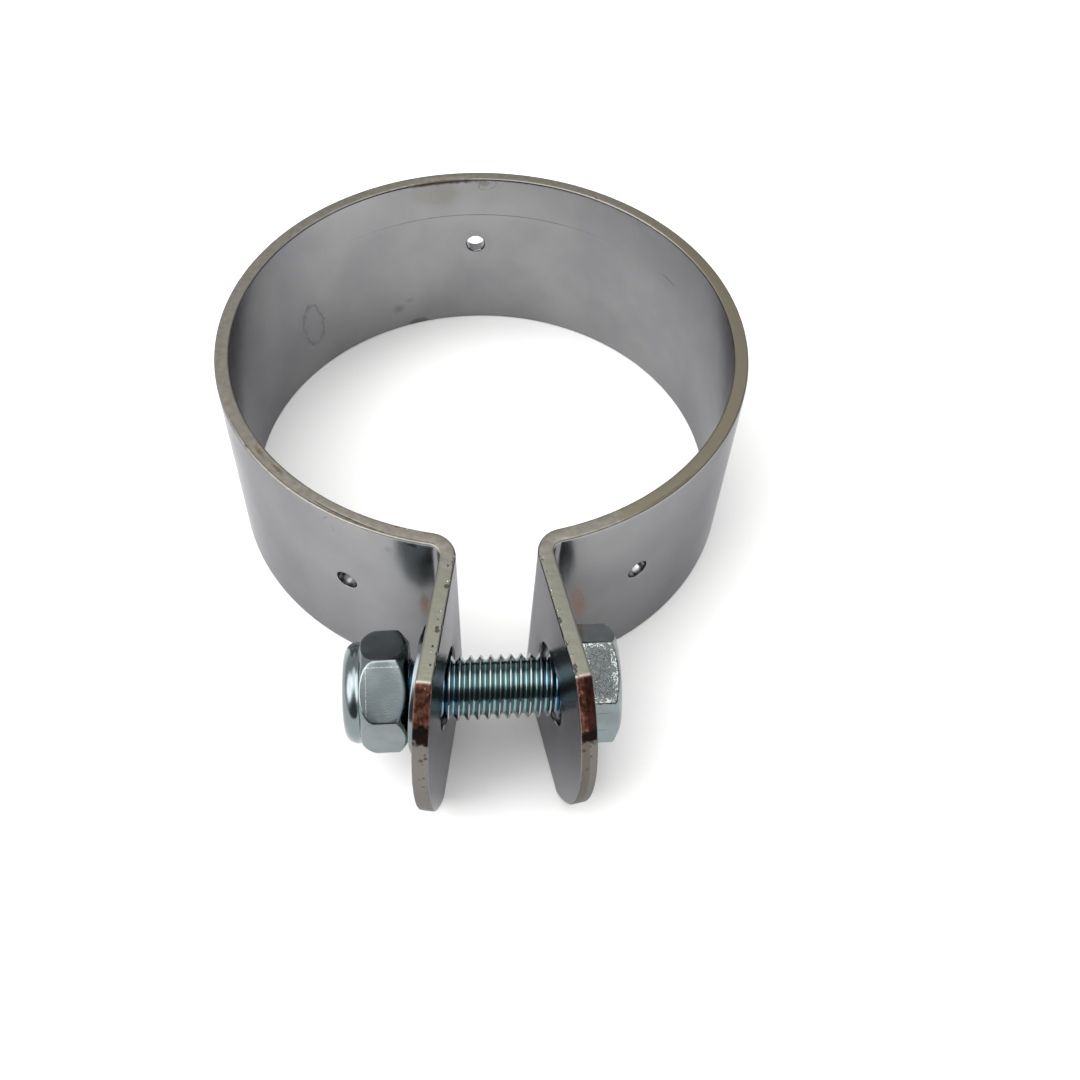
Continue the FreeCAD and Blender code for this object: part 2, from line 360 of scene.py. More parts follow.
head = {
    "bearingX": 9.37, "height": 5.3, "turn": 10.5, "faceRadius": 5.8, "faceHeight": 0.4, "edge": 0.2,
    "shankCircle": 3.9, "middleCircle": 0.02,  # radii of the face's ring at the shank, and innermost
    "frostedFlat": 70.5,  # degrees up from -Y: the flat whose zinc came out crinkled
}


def headSurface():
    # Rings from the middle of the bearing face out, over the hexagon's side to the arc where the
    # chamfer's cone cuts it, and in over the end face. Each ring is a radius and a height.
    angle = hexagonAngles(head["turn"])
    hexagon = hexagonRadius(angle, head["turn"])
    circle = np.ones_like(angle)
    slope, edge, height = fastener["headSlope"], head["edge"], head["height"]
    end, low = fastener["chamferCircle"], head["faceHeight"]
    arc = height - (hexagon - end) * slope
    middle = 0.5 * (hexagon + end)
    rings = [
        (head["middleCircle"] * circle, 0 * circle),
        (head["shankCircle"] * circle, 0 * circle),
        ((head["faceRadius"] - edge) * circle, 0 * circle),
        (head["faceRadius"] * circle, edge * circle),
        (head["faceRadius"] * circle, low * circle),
        (hexagon - edge, low * circle),
        (hexagon - edge * 0.3, (low + edge * 0.3) * circle),
        (hexagon, (low + edge) * circle),
        (hexagon, low + 0.25 * (arc - low)),
        (hexagon, low + 0.5 * (arc - low)),
        (hexagon, low + 0.75 * (arc - low)),
        (hexagon, arc - edge),
        (hexagon - edge * 0.25, arc - edge * 0.2),
        (hexagon - edge, arc + edge * slope),
        (middle, arc + (hexagon - middle) * slope),
        ((end + edge) * circle, height - edge * slope * circle),
        ((end - edge * 0.2) * circle, (height - 0.02) * circle),
        ((end - edge) * circle, height * circle),
        (end * 0.6 * circle, height * circle),
        (end * 0.3 * circle, height * circle),
        (head["middleCircle"] * circle, height * circle),
    ]
    radius, reach = (np.array([ring[part] for ring in rings]) for part in (0, 1))
    points = roundAxis(radius, head["bearingX"] + reach, angle[None], 1).reshape(-1, 3)
    columns = len(angle)
    faces = ringFaces(len(rings), columns, False)
    faces.append(list(range(columns)))
    faces.append(list(range(columns * len(rings) - 1, columns * (len(rings) - 1) - 1, -1)))
    return points, faces


def flatPlaces(points, flat):
    # for the flat that faces so many degrees up from -Y: 1 on it and 0 inside, and mm across it
    sine, cosine = math.sin(math.radians(flat)), math.cos(math.radians(flat))
    fromAxis = points[:, 1:] - [-band["boltReach"], halfWidth]
    outward = fromAxis @ [-cosine, sine]
    onFlat = np.clip((outward - fastener["wrenchSize"] / 2) / fastener["flatBorder"] + 1, 0, 1)
    return onFlat, fromAxis @ [sine, cosine]


shank = {
    "endX": -18.93, "tipRadius": 3.0, "point": 1.0, "neckX": 7.7, "neckRadius": 3.45, "startX": 10.5,
    "around": 72,  # points in one turn
}


def threadSurface():
    # Rows follow the helix, so each crest is one row: along = pitch * (row / rowsPerTurn + turn).
    # The radius is the V profile with a circle of radius R in its root, which gives the depth
    # apex - 2 R + sqrt(R^2 - x^2) at x mm from the root's middle and the V's apex - x tan 60
    # beyond it, held under the tip's cone and the neck. Past either end the rows run on as a
    # spiral over the flat end, and one face closes each.
    pitch, crest, around = fastener["pitch"], fastener["crestFlat"], shank["around"]
    flank = [0.085, 0.17, 0.25, 0.31, 0.37, 0.43, 0.5, 0.57, 0.63, 0.69, 0.75, 0.83, 0.915]
    share = np.array([-crest, -crest * 0.9, 0, crest * 0.9, crest, *flank])
    fromRoot = np.abs(0.5 - np.abs(share)) * pitch
    steep, rounding = math.tan(math.radians(60)), fastener["rootRounding"]
    apex = (0.5 - crest) * pitch * steep
    arc = apex - 2 * rounding + np.sqrt(np.maximum(rounding**2 - fromRoot**2, 0))
    onArc = fromRoot < rounding * math.cos(math.radians(30))
    depth = np.maximum(np.where(onArc, arc, apex - fromRoot * steep), 0)
    profile = fastener["threadRadius"] - depth
    perTurn = len(share)
    turns = math.ceil((shank["startX"] - shank["endX"]) / pitch) + 4
    row, column = np.meshgrid(np.arange(turns * perTurn), np.arange(around), indexing="ij")
    offset = share[row % perTurn] + row // perTurn
    nominal = shank["endX"] - 2 * pitch + pitch * (offset + column / around)
    reach = np.clip(nominal, shank["endX"], shank["startX"])
    past = np.maximum(shank["endX"] - nominal, 0) + np.maximum(nominal - shank["startX"], 0)
    coneSlope = (fastener["threadRadius"] - shank["tipRadius"]) / shank["point"]
    cone = shank["tipRadius"] + (reach - shank["endX"]) * coneSlope
    blend = np.clip((reach - shank["neckX"]) / pitch, 0, 1)
    cut = profile[row % perTurn]
    radius = np.minimum(cut + (shank["neckRadius"] - cut) * blend, cone)
    radius = radius * (1 - past / (past + pitch))
    points = roundAxis(radius, reach, column * 2 * math.pi / around, 1)
    number = row * around + column
    following = np.concatenate([number[:-perTurn, 1:], number[perTurn:, :1]], 1)
    near, far = number[:-perTurn - 1], number[1:-perTurn]
    quads = np.stack([near, far, following[1:], following[:-1]], -1).reshape(-1, 4)
    lastTurn = [number[-perTurn - 1:-1, :-1], number[-perTurn:, :-1]]
    lastTurn += [number[-perTurn:, 1:], number[-perTurn - 1:-1, 1:]]
    last = turns * perTurn - 1
    startFace = [*number[perTurn:0:-1, 0], *number[0, :]]
    endFace = [*number[last, :], *number[last - 1:last - perTurn - 1:-1, -1]]
    faces = np.concatenate([quads, np.stack(lastTurn, -1).reshape(-1, 4)]).tolist()
    faces += [[int(n) for n in startFace], [int(n) for n in endFace[::-1]]]
    atTop = cut > fastener["threadRadius"] - 0.01
    onCrest = np.where(atTop & (blend < 0.5) & (past <= 0), 1.0, 0.0)
    return points.reshape(-1, 3), faces, onCrest.ravel()


washer = {
    "thickness": 1.6, "outer": 8.0, "bore": 4.5, "rounding": 0.2, "punchedEdge": 0.12,
    "seatGap": 0.02,  # off the ear
    "step": 3.0,  # degrees between columns
}


def washerSurface():
    # A closed profile of radius and height over the left ear's outer face, carried round that
    # face's normal. Its centre is where the bolt's axis comes out of the face.
    bolt = bandHoles()[3][0]
    along = np.array([bolt, bolt, bolt - 1])
    level = halfWidth + np.array([0, 1, 0])
    face = foldStrip(along, level, band["thickness"])
    normal = np.cross(face[1] - face[0], face[2] - face[0])
    normal *= -np.sign(normal[0]) / np.linalg.norm(normal)
    centre = np.array([0, -band["boltReach"], halfWidth])
    centre[0] = face[0, 0] - (centre - face[0])[1:] @ normal[1:] / normal[0]
    upward = np.array([0, 0, 1.0]) - normal[2] * normal
    upward /= np.linalg.norm(upward)
    forward = np.cross(upward, normal)
    low, high = washer["seatGap"], washer["seatGap"] + washer["thickness"]
    outer, bore, soft = washer["outer"], washer["bore"], washer["rounding"]
    turn = np.radians([0, 22.5, 45, 67.5, 90])
    nearEdge = [(outer - soft + soft * math.sin(t), low + soft - soft * math.cos(t)) for t in turn]
    farEdge = [(outer - soft + soft * math.cos(t), high - soft + soft * math.sin(t)) for t in turn]
    cut = washer["punchedEdge"]
    punched = [(bore + cut, high), (bore, high - cut), (bore, low + cut)]
    profile = [(bore + cut, low), *nearEdge, *farEdge, *punched]
    radius, rise = (np.array(part)[:, None, None] for part in zip(*profile))
    angle = np.radians(np.arange(0, 360, washer["step"]))[None, :, None]
    points = centre + rise * normal + radius * (np.cos(angle) * forward + np.sin(angle) * upward)
    faces = turnedInside(ringFaces(len(profile), angle.size, True))
    return points.reshape(-1, 3), faces


nut = {
    "bearingX": 11.07, "hexHeight": 5.9, "height": 8.0, "turn": 0.0, "collar": 6.2, "rounding": 1.6,
    "shoulderRadius": 3.0, "shoulderCentre": 4.54, "shoulderStart": 3.6,  # rounds the corners off
    "pressedFlat": 60.0,  # degrees up from -Y: the flat with the die's faint outline
    "mouth": 4.6, "lip": 0.5, "pocket": 5.3, "pocketFloor": 5.8, "bore": 4.05, "edge": 0.2,
    "boreMouth": (4.7, 0.6),  # radius and height of the cone from the bearing face to the bore
    "ledge": (0.12, 0.08),  # width and height where the shoulder meets the collar
    "mouthEdge": 0.12,
}


def nutSurface():
    # A closed set of rings: bearing face, chamfer arcs, flats, the rounded shoulder, collar and
    # its dome, mouth, pocket of the nylon ring, and bore.
    angle = hexagonAngles(nut["turn"])
    hexagon = hexagonRadius(angle, nut["turn"])
    circle = np.ones_like(angle)
    slope, edge = fastener["nutSlope"], nut["edge"]
    face, top = fastener["chamferCircle"], nut["hexHeight"]
    lowArc = (hexagon - face) * slope
    shoulder = nut["shoulderRadius"]
    first = np.arccos(np.clip((hexagon - nut["shoulderCentre"]) / shoulder, -1, 1))
    last = math.asin((top - nut["shoulderStart"]) / shoulder)
    highArc = nut["shoulderStart"] + shoulder * np.sin(first)
    rings = [
        (nut["boreMouth"][0] * circle, 0 * circle),
        ((face - edge) * circle, 0 * circle),
        ((face + edge * 0.3) * circle, edge * 0.5 * circle),
        (0.5 * (face + hexagon), 0.5 * lowArc + 0.02),
        (hexagon - edge, lowArc - edge * slope),
        (hexagon - edge * 0.25, lowArc + edge * 0.2),
        (hexagon, lowArc + edge),
        (hexagon, lowArc + 0.33 * (highArc - lowArc)),
        (hexagon, lowArc + 0.67 * (highArc - lowArc)),
        (hexagon, highArc - edge),
    ]
    for share in (0.06, 0.3, 0.65, 1.0):
        turn = first + share * (np.maximum(last, first) - first)
        radius = nut["shoulderCentre"] + shoulder * np.cos(turn)
        rings.append((radius - 0.03, nut["shoulderStart"] + shoulder * np.sin(turn) - 0.01))
    rings += [
        ((nut["collar"] + nut["ledge"][0]) * circle, top * circle),
        (nut["collar"] * circle, (top + nut["ledge"][1]) * circle),
    ]
    for turn in np.radians(np.arange(0, 91, 11.25)):
        rings.append((
            (nut["collar"] - nut["rounding"] + nut["rounding"] * math.cos(turn)) * circle,
            (nut["height"] - nut["rounding"] + nut["rounding"] * math.sin(turn)) * circle,
        ))
    rings += [
        (nut["mouth"] * circle, (nut["height"] - nut["mouthEdge"]) * circle),
        (nut["mouth"] * circle, (nut["height"] - nut["lip"]) * circle),
        (nut["pocket"] * circle, (nut["height"] - nut["lip"]) * circle),
        (nut["pocket"] * circle, nut["pocketFloor"] * circle),
        (nut["bore"] * circle, nut["pocketFloor"] * circle),
        (nut["bore"] * circle, nut["boreMouth"][1] * circle),
    ]
    radius, reach = (np.array([ring[part] for ring in rings]) for part in (0, 1))
    points = roundAxis(radius, nut["bearingX"] + reach, angle[None], -1)
    return points.reshape(-1, 3), turnedInside(ringFaces(len(rings), len(angle), True))


nylonRing = {"rounding": 0.15, "clearance": 0.01, "step": 5}  # step in degrees between columns


def nylonSurface():
    # a closed ring profile, its bore's outer corner rounded, in the nut's pocket
    angle = np.radians(np.arange(0, 360, nylonRing["step"]))
    low = nut["bearingX"] + nut["pocketFloor"]
    high = nut["bearingX"] + nut["height"] - nut["lip"] - nylonRing["clearance"]
    bore, pocket, soft = nut["bore"], nut["pocket"], nylonRing["rounding"]
    profile = [(bore, low), (pocket, low), (pocket, high), (bore + 2 * soft, high)]
    profile += [(bore + soft, high - soft * 0.3), (bore, high - soft)]
    radius, reach = (np.array(part)[:, None] for part in zip(*profile))
    points = roundAxis(radius, reach, angle[None], -1)
    return points.reshape(-1, 3), turnedInside(ringFaces(len(profile), len(angle), True))


# Materials
stripFinish = {
    "wall": ("#818183", "#8d8d8e"),  # dull and bright clouds of the plating
    "grazing": (0.58, 0.58, 0.60, 1.0),  # zinc brightens less at a glance than a perfect mirror
    "cutEdge": ("#736f67", "#838077"),  # sheared edge, yellowed zinc
    "earEdge": "#74756a",
    "oliveEdge": "#757061",  # the right half of the upper rim
    "oliveReach": (18.0, 40.0, 98.2),  # mm from the back where it fades in, is full, and stops
    "earEdgeFrom": (110.0, 114.0),  # mm from the back, round the bend
    "earEdgeStrength": 0.8,
    "cloud": 14.0,  # mm
    "cloudRange": (0.35, 0.65),  # noise that gives the dull and the bright shade
    "rollLine": (60.0, 0.35),  # mm along and across the rolling direction
    "grain": 0.22,
    "blotch": 1.1,  # uneven patches to the mm, which break up borders
    "speck": 2.6,  # spacing
    "speckSize": (0.62, 1.0, 0.0, 0.075),  # random values with a speck, and its size in spacings
    "speckStrength": 0.75,
    "speckColour": "#322e2a",
    "roughness": 0.2,
    "cloudRoughness": 0.03,  # more on dull clouds, less on bright ones
    "markRoughness": 0.25,  # more under a mark
    "edgeRoughness": 0.2,  # more on the sheared edge
    "bumpDepth": 0.000006,  # metres of relief for each unit below
    "relief": {
        "rollLines": 0.25, "clouds": 3.0, "marks": -1.5, "cutEdge": 3.0, "blotches": 2.0,
        "pits": -9.0, "burrs": 6.0, "rimMarks": -3.0,
    },
}
tornEdge = {
    "share": (0.42, 0.25),  # of the thickness, from the gap side, on the left and the right ear
    "waver": 0.3,  # of the thickness, how far the blotches move the border
    "earsFrom": (109.0, 112.0),  # mm from the back
    "pitSpacing": 0.6,
    "pitSize": (0.35, 0.75, 0.0, 0.5),  # random values with a pit, and its size in spacings
    "pitStrength": 0.8,
    "pitColour": "#3f3a31",
    "burrSize": 0.36,  # in spacings
    "paintedBurrGlint": "#d8d5cc",  # painted highlight on the burrs
    "burrs": (-106.0, -87.0),  # mm from the back, where the rim's inner edge glints
    "burrDepth": (0.16, 0.08),  # of the thickness, where that glint ends and is full
}
earEndFinish = {
    "corner": (127.1, 127.7),  # mm from the back: painted highlight line on the corner
    "cornerHighlightColour": "#8b837b",
    "brown": ("#7a5347", "#4a2c22"),  # light and dark red-brown under thin zinc
    "outerBrown": "#2f1a15",  # the outer half of the right ear's end
    "brownDown": (25.6, 24.4),  # height where it ends, left and right ear
    "black": "#1d1513",
    "blackDown": (23.7, 22.9),
    "trailDown": 14.0,  # specks go on to here
    "trailColour": "#4a372e",
    "clean": ("#5f5a54", "#6b6864"),  # the right ear's gap side and outer side
    "cleanLeft": "#6e6b67",
}

# Marks that the photograph shows. Centre and half sizes in mm, along the strip from the back and
# up it, or out from the inner face on the cut edge; turn in degrees; softness and raggedness of
# the border; colour and strength. An outline mark is only its border.
# Some marks are painted shade or painted reflections, as the notes above them say.
innerMarks = {
    "longScratch": ((0.5, 22.9), (28.5, 0.1), 0, 0.6, 0.5, "#3c3a38", 0.5),
    "shortScratch": ((37.0, 22.6), (2.2, 0.09), -4, 0.5, 0.3, "#45443f", 0.6),
    "oilFilm": ((-6.8, 28.0), (5.6, 3.5), -14, 0.5, 0.2, "#7b7768", 0.3),
    "oilAtRim": ((-5.4, 29.8), (8.2, 0.65), 0, 0.7, 1.1, "#4a3f33", 0.85),
    "filmEnd": ((1.5, 29.2), (1.2, 0.7), 0, 0.6, 0.6, "#7b7062", 0.5),
    "filmCurlOutline": ((2.0, 29.0), (1.5, 1.0), 20, 0.07, 0.7, "#5f574c", 0.45),
    "brownAtLowerRim": ((-10.8, 0.5), (2.4, 0.9), 0, 0.6, 0.5, "#5b5249", 0.6),
    "smudge": ((-14.4, 4.6), (1.6, 1.5), 25, 0.9, 0.8, "#5e5f5c", 0.4),
    "smallSmudge": ((-12.2, 5.9), (1.2, 0.7), 0, 0.9, 0.8, "#5e5f5c", 0.3),
    "thumbOutline": ((-31.8, 10.4), (2.1, 4.3), 8, 0.16, 0.9, "#515150", 0.4),
}
outerMarks = {
    # painted reflection: dark ragged spots for the ear and nut mirrored in the wall by the left bend
    "leftDarkReflectionSpots": ((-104.6, 29.2), (1.0, 0.45), 0, 0.3, 2.2, "#1a1c1d", 0.8),
    "leftOrangeTint": ((-105.7, 16.4), (1.1, 3.8), 2, 0.9, 0.5, "#7c5f49", 0.6),
    "rightOrangeTint": ((103.6, 14.5), (1.6, 6.0), -10, 0.95, 0.4, "#94705c", 0.6),
    "scratchDown": ((-93.0, 28.9), (0.07, 1.1), 34, 0.6, 0.4, "#4a4947", 0.45),
    "scratchAcross": ((-94.0, 27.3), (0.07, 0.9), -14, 0.6, 0.4, "#4a4947", 0.35),
    "squareSmudge": ((-101.5, 27.2), (0.9, 0.9), 0, 0.9, 0.4, "#6c6d69", 0.3),
}
rimMarks = {
    "brownLeft": ((-79.6, 0.75), (1.9, 0.45), 0, 0.8, 0.6, "#6a5038", 0.6),
    "brownBesideIt": ((-83.4, 0.6), (1.5, 0.4), 0, 0.8, 0.6, "#65503e", 0.65),
    "orangeFleck": ((-102.1, 0.2), (0.35, 0.2), 0, 0.8, 0.3, "#8c5a26", 0.8),
    # painted shade: a thin dark line just inside the rim's outer edge on the left
    "leftEdgeShadeLine": ((-92.0, 1.62), (24.0, 0.05), 0.0, 0.5, 0.6, "#34322f", 0.75),
    "shearWedgeLeft": ((-95.5, 1.32), (6.4, 0.2), -1.4, 0.7, 0.3, "#403e3a", 0.7),
    # painted shade: a thin dark line just inside the rim's outer edge on the right
    "rightEdgeShadeLine": ((80.0, 1.84), (24.0, 0.05), 0.0, 0.5, 0.5, "#34322c", 0.75),
    "secondLineRight": ((91.0, 1.62), (6.5, 0.05), 0.0, 0.5, 0.5, "#34322c", 0.6),
    "oilOnRim": ((-5.4, 0.1), (8.0, 0.35), 0, 0.8, 1.0, "#4a3f33", 0.7),
    "darkNick": ((-77.8, 1.75), (0.5, 0.25), 0, 0.6, 0.3, "#3d3c38", 0.6),
    "backNick": ((20.5, 0.4), (0.35, 0.35), 0, 0.7, 0.6, "#3d3c38", 0.6),
}
stripSpan = 280.0  # mm of flat strip that the map's unit square covers


def spot(tree, place, mark, soft, ragged, grain, outline):
    # 1 inside an ellipse and 0 outside it, or 1 only on its border, which the grain noise moves
    # in and out
    centre, half, turn = mark
    local = addNode(tree, "Mapping", {"vector_type": "TEXTURE"}, {
        "Vector": place, "Location": (*centre, 0), "Rotation": (0, 0, math.radians(turn)),
        "Scale": (*half, 1),
    })
    away = addNode(tree, "VectorMath", {"operation": "LENGTH"}, {0: local.outputs[0]})
    uneven = addNode(tree, "Math", {"operation": "MULTIPLY_ADD"}, {
        0: grain, 1: ragged, 2: away.outputs["Value"],
    }).outputs[0]
    edge = 1 + ragged / 2
    if outline:
        inward = addNode(tree, "Math", {"operation": "SUBTRACT"}, {0: uneven, 1: edge}).outputs[0]
        uneven = addNode(tree, "Math", {"operation": "ABSOLUTE"}, {0: inward}).outputs[0]
        edge = soft
    share = addNode(tree, "MapRange", {"interpolation_type": "SMOOTHSTEP"}, {
        "Value": uneven, "From Min": edge, "From Max": edge - soft,
    })
    return share.outputs[0]


def addMarks(tree, colour, covered, place, where, grain, marks):
    # paints each mark over the colour where its surface is, and gathers how much is covered
    for name, (centre, half, turn, soft, ragged, hue, strength) in marks.items():
        share = spot(tree, place, (centre, half, turn), soft, ragged, grain, "Outline" in name)
        share = addNode(tree, "Math", {"operation": "MULTIPLY"}, {0: share, 1: where}).outputs[0]
        share = addNode(tree, "Math", {"operation": "MULTIPLY"}, {0: share, 1: strength}).outputs[0]
        colour = addNode(tree, "Mix", {"data_type": "RGBA"}, {
            0: share, 6: colour, 7: hue,
        }).outputs[2]
        covered = addNode(tree, "Math", {"operation": "MAXIMUM"}, {0: covered, 1: share}).outputs[0]
    return colour, covered


def platedStrip():
    # Bright zinc over cold rolled steel strip: a clouded mirror with faint rolling lines, dark
    # specks, and sheared edges whose zinc is rougher and yellowed.
    material, tree = emptyMaterial("brightZincOnRolledStrip")
    look = stripFinish
    unit = addNode(tree, "UVMap", {"uv_map": "flatStrip"}).outputs[0]
    place = addNode(tree, "Mapping", None, {
        "Vector": unit, "Location": (-stripSpan / 2, 0, 0), "Scale": (stripSpan, stripSpan, 0),
    }).outputs[0]
    metres = addNode(tree, "TexCoord").outputs["Object"]
    solid = addNode(tree, "VectorMath", {"operation": "SCALE"}, {
        0: metres, "Scale": 1 / millimetre,
    }).outputs[0]
    outside = addNode(tree, "Attribute", {"attribute_name": "outside"}).outputs["Fac"]
    cutEdge = addNode(tree, "Attribute", {"attribute_name": "cutEdge"}).outputs["Fac"]
    apart = addNode(tree, "SeparateXYZ", None, {0: place})
    along, height = apart.outputs[0], apart.outputs[1]
    distance = addNode(tree, "Math", {"operation": "ABSOLUTE"}, [along]).outputs[0]
    onRight = addNode(tree, "MapRange", None, [along, -1.0, 1.0]).outputs[0]

    # clouds, rolling lines and grain
    cloud = addNode(tree, "TexNoise", None, {
        "Vector": solid, "Scale": 1 / look["cloud"], "Detail": 4.0, "Roughness": 0.55,
    }).outputs[0]
    longer = addNode(tree, "Mapping", None, {
        "Vector": place, "Scale": (1 / look["rollLine"][0], 1 / look["rollLine"][1], 1),
    }).outputs[0]
    rollLines = addNode(tree, "TexNoise", None, {
        "Vector": longer, "Scale": 1.0, "Detail": 3.0,
    }).outputs[0]
    grain = addNode(tree, "TexNoise", None, {
        "Vector": solid, "Scale": 1 / look["grain"], "Detail": 3.0,
    }).outputs[0]
    blotch = addNode(tree, "TexNoise", None, {
        "Vector": solid, "Scale": look["blotch"], "Detail": 5.0,
    }).outputs[0]
    onInner = addNode(tree, "MapRange", None, [outside, 0.55, 0.45]).outputs[0]
    onOuter = addNode(tree, "MapRange", None, [outside, 0.45, 0.55]).outputs[0]
    colour = addNode(tree, "Mix", {"data_type": "RGBA"}, {
        0: addNode(tree, "MapRange", None, [cloud, *look["cloudRange"]]).outputs[0],
        6: look["wall"][0], 7: look["wall"][1],
    }).outputs[2]

    # dark specks: the nearest cell's random value sets how large its speck is, most are none
    cells = addNode(tree, "TexVoronoi", None, {"Vector": solid, "Scale": 1 / look["speck"]})
    size = addNode(tree, "MapRange", None, [
        cells.outputs["Color"], *look["speckSize"],
    ]).outputs[0]
    inside = addNode(tree, "Math", {"operation": "SUBTRACT"}, [
        size, cells.outputs["Distance"],
    ]).outputs[0]
    colour = addNode(tree, "Mix", {"data_type": "RGBA"}, {
        0: addNode(tree, "MapRange", None, [
            inside, 0.0, 0.02, 0.0, look["speckStrength"],
        ]).outputs[0],
        6: colour, 7: look["speckColour"],
    }).outputs[2]

    # the marks on the two walls
    colour, marked = addMarks(tree, colour, 0.0, place, onInner, blotch, innerMarks)
    colour, marked = addMarks(tree, colour, marked, place, onOuter, blotch, outerMarks)

    # sheared edge: yellowed zinc, olive on the right half of the rim up to a sharp step
    edgeColour = addNode(tree, "Mix", {"data_type": "RGBA"}, {
        0: addNode(tree, "MapRange", None, [blotch, 0.3, 0.7]).outputs[0],
        6: look["cutEdge"][0], 7: look["cutEdge"][1],
    }).outputs[2]
    edgeColour = addNode(tree, "Mix", {"data_type": "RGBA"}, {
        0: addNode(tree, "MapRange", None, [
            distance, *look["earEdgeFrom"], 0.0, look["earEdgeStrength"],
        ]).outputs[0],
        6: edgeColour, 7: look["earEdge"],
    }).outputs[2]
    fadeIn, full, step = look["oliveReach"]
    olive = addNode(tree, "Math", {"operation": "MULTIPLY"}, [
        addNode(tree, "MapRange", None, [along, fadeIn, full]).outputs[0],
        addNode(tree, "MapRange", None, [along, step + 0.3, step - 0.3]).outputs[0],
    ]).outputs[0]
    edgeColour = addNode(tree, "Mix", {"data_type": "RGBA"}, {
        0: olive, 6: edgeColour, 7: look["oliveEdge"],
    }).outputs[2]
    across = addNode(tree, "CombineXYZ", None, {
        0: along,
        1: addNode(tree, "Math", {"operation": "MULTIPLY"}, [
            outside, band["thickness"],
        ]).outputs[0],
    }).outputs[0]
    edgeColour, edgeMarked = addMarks(tree, edgeColour, 0.0, across, 1.0, blotch, rimMarks)

    # on the ears the shear tore the gap side into pits and burrs; the rim has burrs on one stretch.
    # The burrs' relief is real, and their bright colour is a painted highlight.
    tornShare = addNode(tree, "Mix", None, {
        0: onRight, 2: tornEdge["share"][0], 3: tornEdge["share"][1],
    }).outputs[0]
    torn = addNode(tree, "Math", {"operation": "MULTIPLY"}, [
        addNode(tree, "Math", {"operation": "SUBTRACT"}, [
            tornShare,
            addNode(tree, "Math", {"operation": "MULTIPLY_ADD"}, [
                blotch, tornEdge["waver"], outside,
            ]).outputs[0],
        ]).outputs[0],
        12.0,
    ]).outputs[0]
    torn = addNode(tree, "MapRange", None, [torn, -2.0, -0.8]).outputs[0]
    onEar = addNode(tree, "Math", {"operation": "MULTIPLY"}, [
        torn,
        addNode(tree, "MapRange", None, [distance, *tornEdge["earsFrom"]]).outputs[0],
    ]).outputs[0]
    pits = addNode(tree, "TexVoronoi", None, {"Vector": solid, "Scale": 1 / tornEdge["pitSpacing"]})
    pitSize = addNode(tree, "MapRange", None, [
        pits.outputs["Color"], *tornEdge["pitSize"],
    ]).outputs[0]
    pit = addNode(tree, "MapRange", None, [
        addNode(tree, "Math", {"operation": "SUBTRACT"}, [
            pitSize, pits.outputs["Distance"],
        ]).outputs[0],
        0.0, 0.12,
    ]).outputs[0]
    tornPit = addNode(tree, "Math", {"operation": "MULTIPLY"}, [pit, onEar]).outputs[0]
    burrAndGlint = addNode(tree, "MapRange", None, [
        addNode(tree, "Math", {"operation": "SUBTRACT"}, [
            tornEdge["burrSize"], pits.outputs["Distance"],
        ]).outputs[0],
        0.1, 0.2,
    ]).outputs[0]
    hasBurr = addNode(tree, "MapRange", None, [pits.outputs["Color"], 0.5, 0.38]).outputs[0]
    burrAndGlint = addNode(tree, "Math", {"operation": "MULTIPLY"}, [burrAndGlint, hasBurr]).outputs[0]
    glint = addNode(tree, "Math", {"operation": "MULTIPLY"}, [
        addNode(tree, "MapRange", None, [
            along, tornEdge["burrs"][0], tornEdge["burrs"][0] + 2,
        ]).outputs[0],
        addNode(tree, "MapRange", None, [
            along, tornEdge["burrs"][1], tornEdge["burrs"][1] - 2,
        ]).outputs[0],
    ]).outputs[0]
    glint = addNode(tree, "Math", {"operation": "MULTIPLY"}, [
        glint,
        addNode(tree, "MapRange", None, [outside, *tornEdge["burrDepth"]]).outputs[0],
    ]).outputs[0]
    burrAndGlint = addNode(tree, "Math", {"operation": "MULTIPLY"}, [
        burrAndGlint,
        addNode(tree, "Math", {"operation": "MAXIMUM"}, [glint, onEar]).outputs[0],
    ]).outputs[0]
    edgeColour = addNode(tree, "Mix", {"data_type": "RGBA"}, {
        0: addNode(tree, "Math", {"operation": "MULTIPLY"}, [
            tornPit, tornEdge["pitStrength"],
        ]).outputs[0],
        6: edgeColour, 7: tornEdge["pitColour"],
    }).outputs[2]
    # painted highlight: the burrs are painted bright
    edgeColour = addNode(tree, "Mix", {"data_type": "RGBA"}, {
        0: burrAndGlint, 6: edgeColour, 7: tornEdge["paintedBurrGlint"],
    }).outputs[2]

